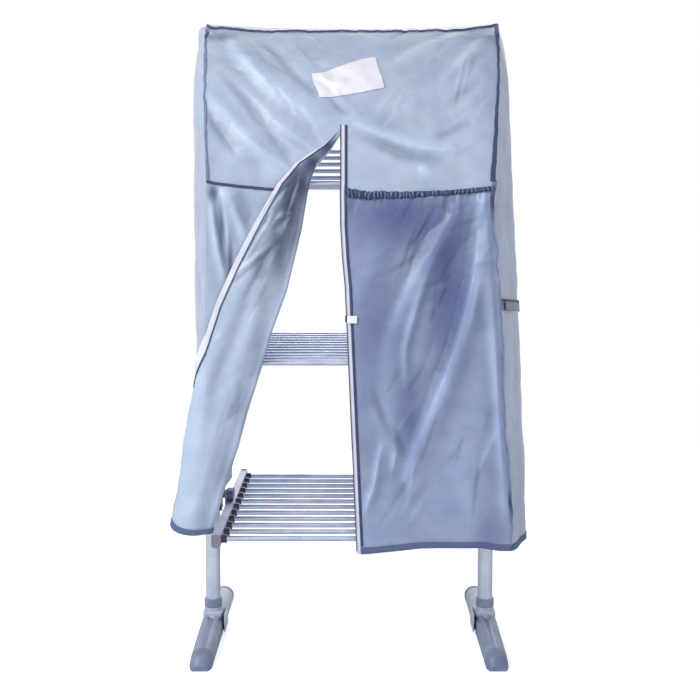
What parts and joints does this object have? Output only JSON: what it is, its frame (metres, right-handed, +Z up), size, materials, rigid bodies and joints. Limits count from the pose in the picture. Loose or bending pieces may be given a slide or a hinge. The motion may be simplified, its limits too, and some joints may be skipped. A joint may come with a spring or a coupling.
{
  "type": "heated clothes airer",
  "caption": "Tiered heated clothes airer with fold-up barred wings on two posts, folding feet and a zipped fabric cover.",
  "frame": {"origin": "floor level midway between the two posts", "axes": "+Z up, +X to the right as seen from the zipped front, -Y towards the zipped front"},
  "size_m": [0.822, 0.7203, 1.4759],
  "materials": {
    "tube_silver": "satin anodised",
    "rail_aluminium": "satin anodised",
    "bar_aluminium": "satin anodised",
    "steel": "zinc plated",
    "heating_core": "matte",
    "plastic_black": "fine texture",
    "plastic_slate": "fine texture",
    "plastic_dark": "fine texture",
    "plastic_grey": "satin",
    "plastic_foot": "satin",
    "rubber_toe": "matte",
    "cover_fabric": "thin woven polyester",
    "zip_tape": "woven tape"
  },
  "bodies": {
    "frame": {"post_left": "tube_silver", "post_right": "tube_silver", "post_caps": "plastic_black", "top_bar": "tube_silver", "foot_hub_left": "plastic_foot", "foot_hub_right": "plastic_foot", "post_collars": "plastic_slate", "wing_brackets": "plastic_slate", "hinge_blocks": "plastic_slate", "hinge_pins": "steel", "bracket_screws": "steel", "leg_pins": "steel", "control_box": "plastic_slate", "power_inlet": "plastic_black"},
    "leg_front_left_body": {"leg_front_left": "plastic_foot", "toe_front_left": "rubber_toe"},
    "leg_front_right_body": {"leg_front_right": "plastic_foot", "toe_front_right": "rubber_toe"},
    "leg_rear_left_body": {"leg_rear_left": "plastic_foot", "toe_rear_left": "rubber_toe"},
    "leg_rear_right_body": {"leg_rear_right": "plastic_foot", "toe_rear_right": "rubber_toe"},
    "wing_lower_front": {"rails_lower_front": "rail_aluminium", "bars_lower_front": "bar_aluminium", "clips_lower_front": "plastic_dark", "heating_wires_lower_front": "heating_core", "rail_ends_lower_front": "plastic_grey"},
    "wing_lower_rear": {"rails_lower_rear": "rail_aluminium", "bars_lower_rear": "bar_aluminium", "clips_lower_rear": "plastic_dark", "heating_wires_lower_rear": "heating_core", "rail_ends_lower_rear": "plastic_grey"},
    "wing_middle_front": {"rails_middle_front": "rail_aluminium", "bars_middle_front": "bar_aluminium", "clips_middle_front": "plastic_dark", "heating_wires_middle_front": "heating_core", "rail_ends_middle_front": "plastic_grey"},
    "wing_middle_rear": {"rails_middle_rear": "rail_aluminium", "bars_middle_rear": "bar_aluminium", "clips_middle_rear": "plastic_dark", "heating_wires_middle_rear": "heating_core", "rail_ends_middle_rear": "plastic_grey"},
    "wing_upper_front": {"rails_upper_front": "rail_aluminium", "bars_upper_front": "bar_aluminium", "clips_upper_front": "plastic_dark", "heating_wires_upper_front": "heating_core", "rail_ends_upper_front": "plastic_grey"},
    "wing_upper_rear": {"rails_upper_rear": "rail_aluminium", "bars_upper_rear": "bar_aluminium", "clips_upper_rear": "plastic_dark", "heating_wires_upper_rear": "heating_core", "rail_ends_upper_rear": "plastic_grey"},
    "cover": {"cover_roof": "cover_fabric", "cover_front_right": "cover_fabric", "cover_front_left": "cover_fabric", "cover_side_left": "cover_fabric", "cover_side_right": "cover_fabric", "cover_zip": "zip_tape"},
    "slider": {"zip_slider": "steel"},
    "rocker": {"rocker_switch": "plastic_black"}
  },
  "joints": [
    {"name": "leg_front_left_fold", "type": "hinge", "parent": "frame", "child": "leg_front_left_body", "pos_m": [-0.335, -0.044, 0.03], "axis": [-1, 0, 0], "range_deg": [0, 90]},
    {"name": "leg_front_right_fold", "type": "hinge", "parent": "frame", "child": "leg_front_right_body", "pos_m": [0.335, -0.044, 0.03], "axis": [-1, 0, 0], "range_deg": [0, 90]},
    {"name": "leg_rear_left_fold", "type": "hinge", "parent": "frame", "child": "leg_rear_left_body", "pos_m": [-0.335, 0.044, 0.03], "axis": [1, 0, 0], "range_deg": [0, 90]},
    {"name": "leg_rear_right_fold", "type": "hinge", "parent": "frame", "child": "leg_rear_right_body", "pos_m": [0.335, 0.044, 0.03], "axis": [1, 0, 0], "range_deg": [0, 90]},
    {"name": "wing_lower_front_fold", "type": "hinge", "parent": "frame", "child": "wing_lower_front", "pos_m": [0, -0.012, 0.34], "axis": [-1, 0, 0], "range_deg": [0, 90]},
    {"name": "wing_lower_rear_fold", "type": "hinge", "parent": "frame", "child": "wing_lower_rear", "pos_m": [0, 0.012, 0.34], "axis": [1, 0, 0], "range_deg": [0, 90]},
    {"name": "wing_middle_front_fold", "type": "hinge", "parent": "frame", "child": "wing_middle_front", "pos_m": [0, -0.012, 0.727], "axis": [-1, 0, 0], "range_deg": [0, 90]},
    {"name": "wing_middle_rear_fold", "type": "hinge", "parent": "frame", "child": "wing_middle_rear", "pos_m": [0, 0.012, 0.727], "axis": [1, 0, 0], "range_deg": [0, 90]},
    {"name": "wing_upper_front_fold", "type": "hinge", "parent": "frame", "child": "wing_upper_front", "pos_m": [0, -0.012, 1.114], "axis": [-1, 0, 0], "range_deg": [0, 90]},
    {"name": "wing_upper_rear_fold", "type": "hinge", "parent": "frame", "child": "wing_upper_rear", "pos_m": [0, 0.012, 1.114], "axis": [1, 0, 0], "range_deg": [-20.5, 69.5]},
    {"name": "cover_lift", "type": "slide", "parent": "frame", "child": "cover", "axis": [0, 0, 1], "range_m": [0, 1.2]},
    {"name": "zip_slide", "type": "slide", "parent": "cover", "child": "slider", "axis": [-0.044, 0, 0.999], "range_m": [-0.45, 0.05]},
    {"name": "rocker_tilt", "type": "hinge", "parent": "frame", "child": "rocker", "pos_m": [0.335, 0.039, 0.492], "axis": [-1, 0, 0], "range_deg": [0, 16]}
  ]
}
